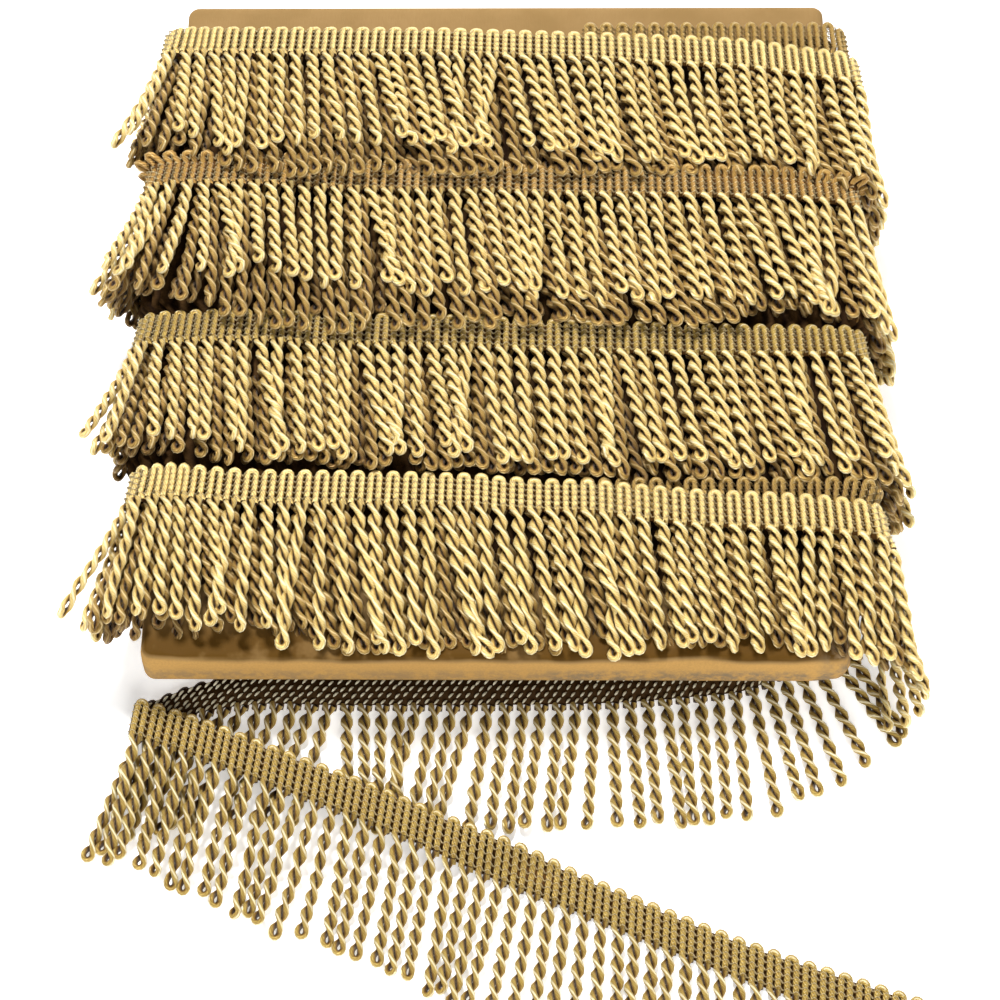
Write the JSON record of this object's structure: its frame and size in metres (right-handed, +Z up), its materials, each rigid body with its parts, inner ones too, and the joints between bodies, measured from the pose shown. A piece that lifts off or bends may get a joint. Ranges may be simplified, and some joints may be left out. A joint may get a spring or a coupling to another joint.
{
  "type": "twisted loop fringe trim wound on a card",
  "caption": "Gold twisted loop fringe with a woven heading, wound in rows round a flat cardboard card, its loose end folded and laid out in front of it.",
  "frame": {"origin": "under the middle of the whole object's box, on the surface it lies on", "axes": "+Z up from that surface, +Y from the loose end towards the wound card's far edge, +X along the rows of trim"},
  "size_m": [0.2488, 0.3766, 0.0413],
  "materials": {
    "board": "brown kraft liner, matt, slightly wrinkled and worn at its edges",
    "yarn": "antique gold two-ply twisted yarn with a soft silky sheen, darker between its plies and loops",
    "inner_yarn": "the same yarn where the outer turns shade it"
  },
  "bodies": {
    "root": {"card": "board", "winding": "inner_yarn", "tier_1": "yarn", "tier_2": "yarn", "tier_3": "yarn", "tier_4": "yarn", "tail_back": "yarn", "tail_front": "yarn"}
  },
  "joints": []
}
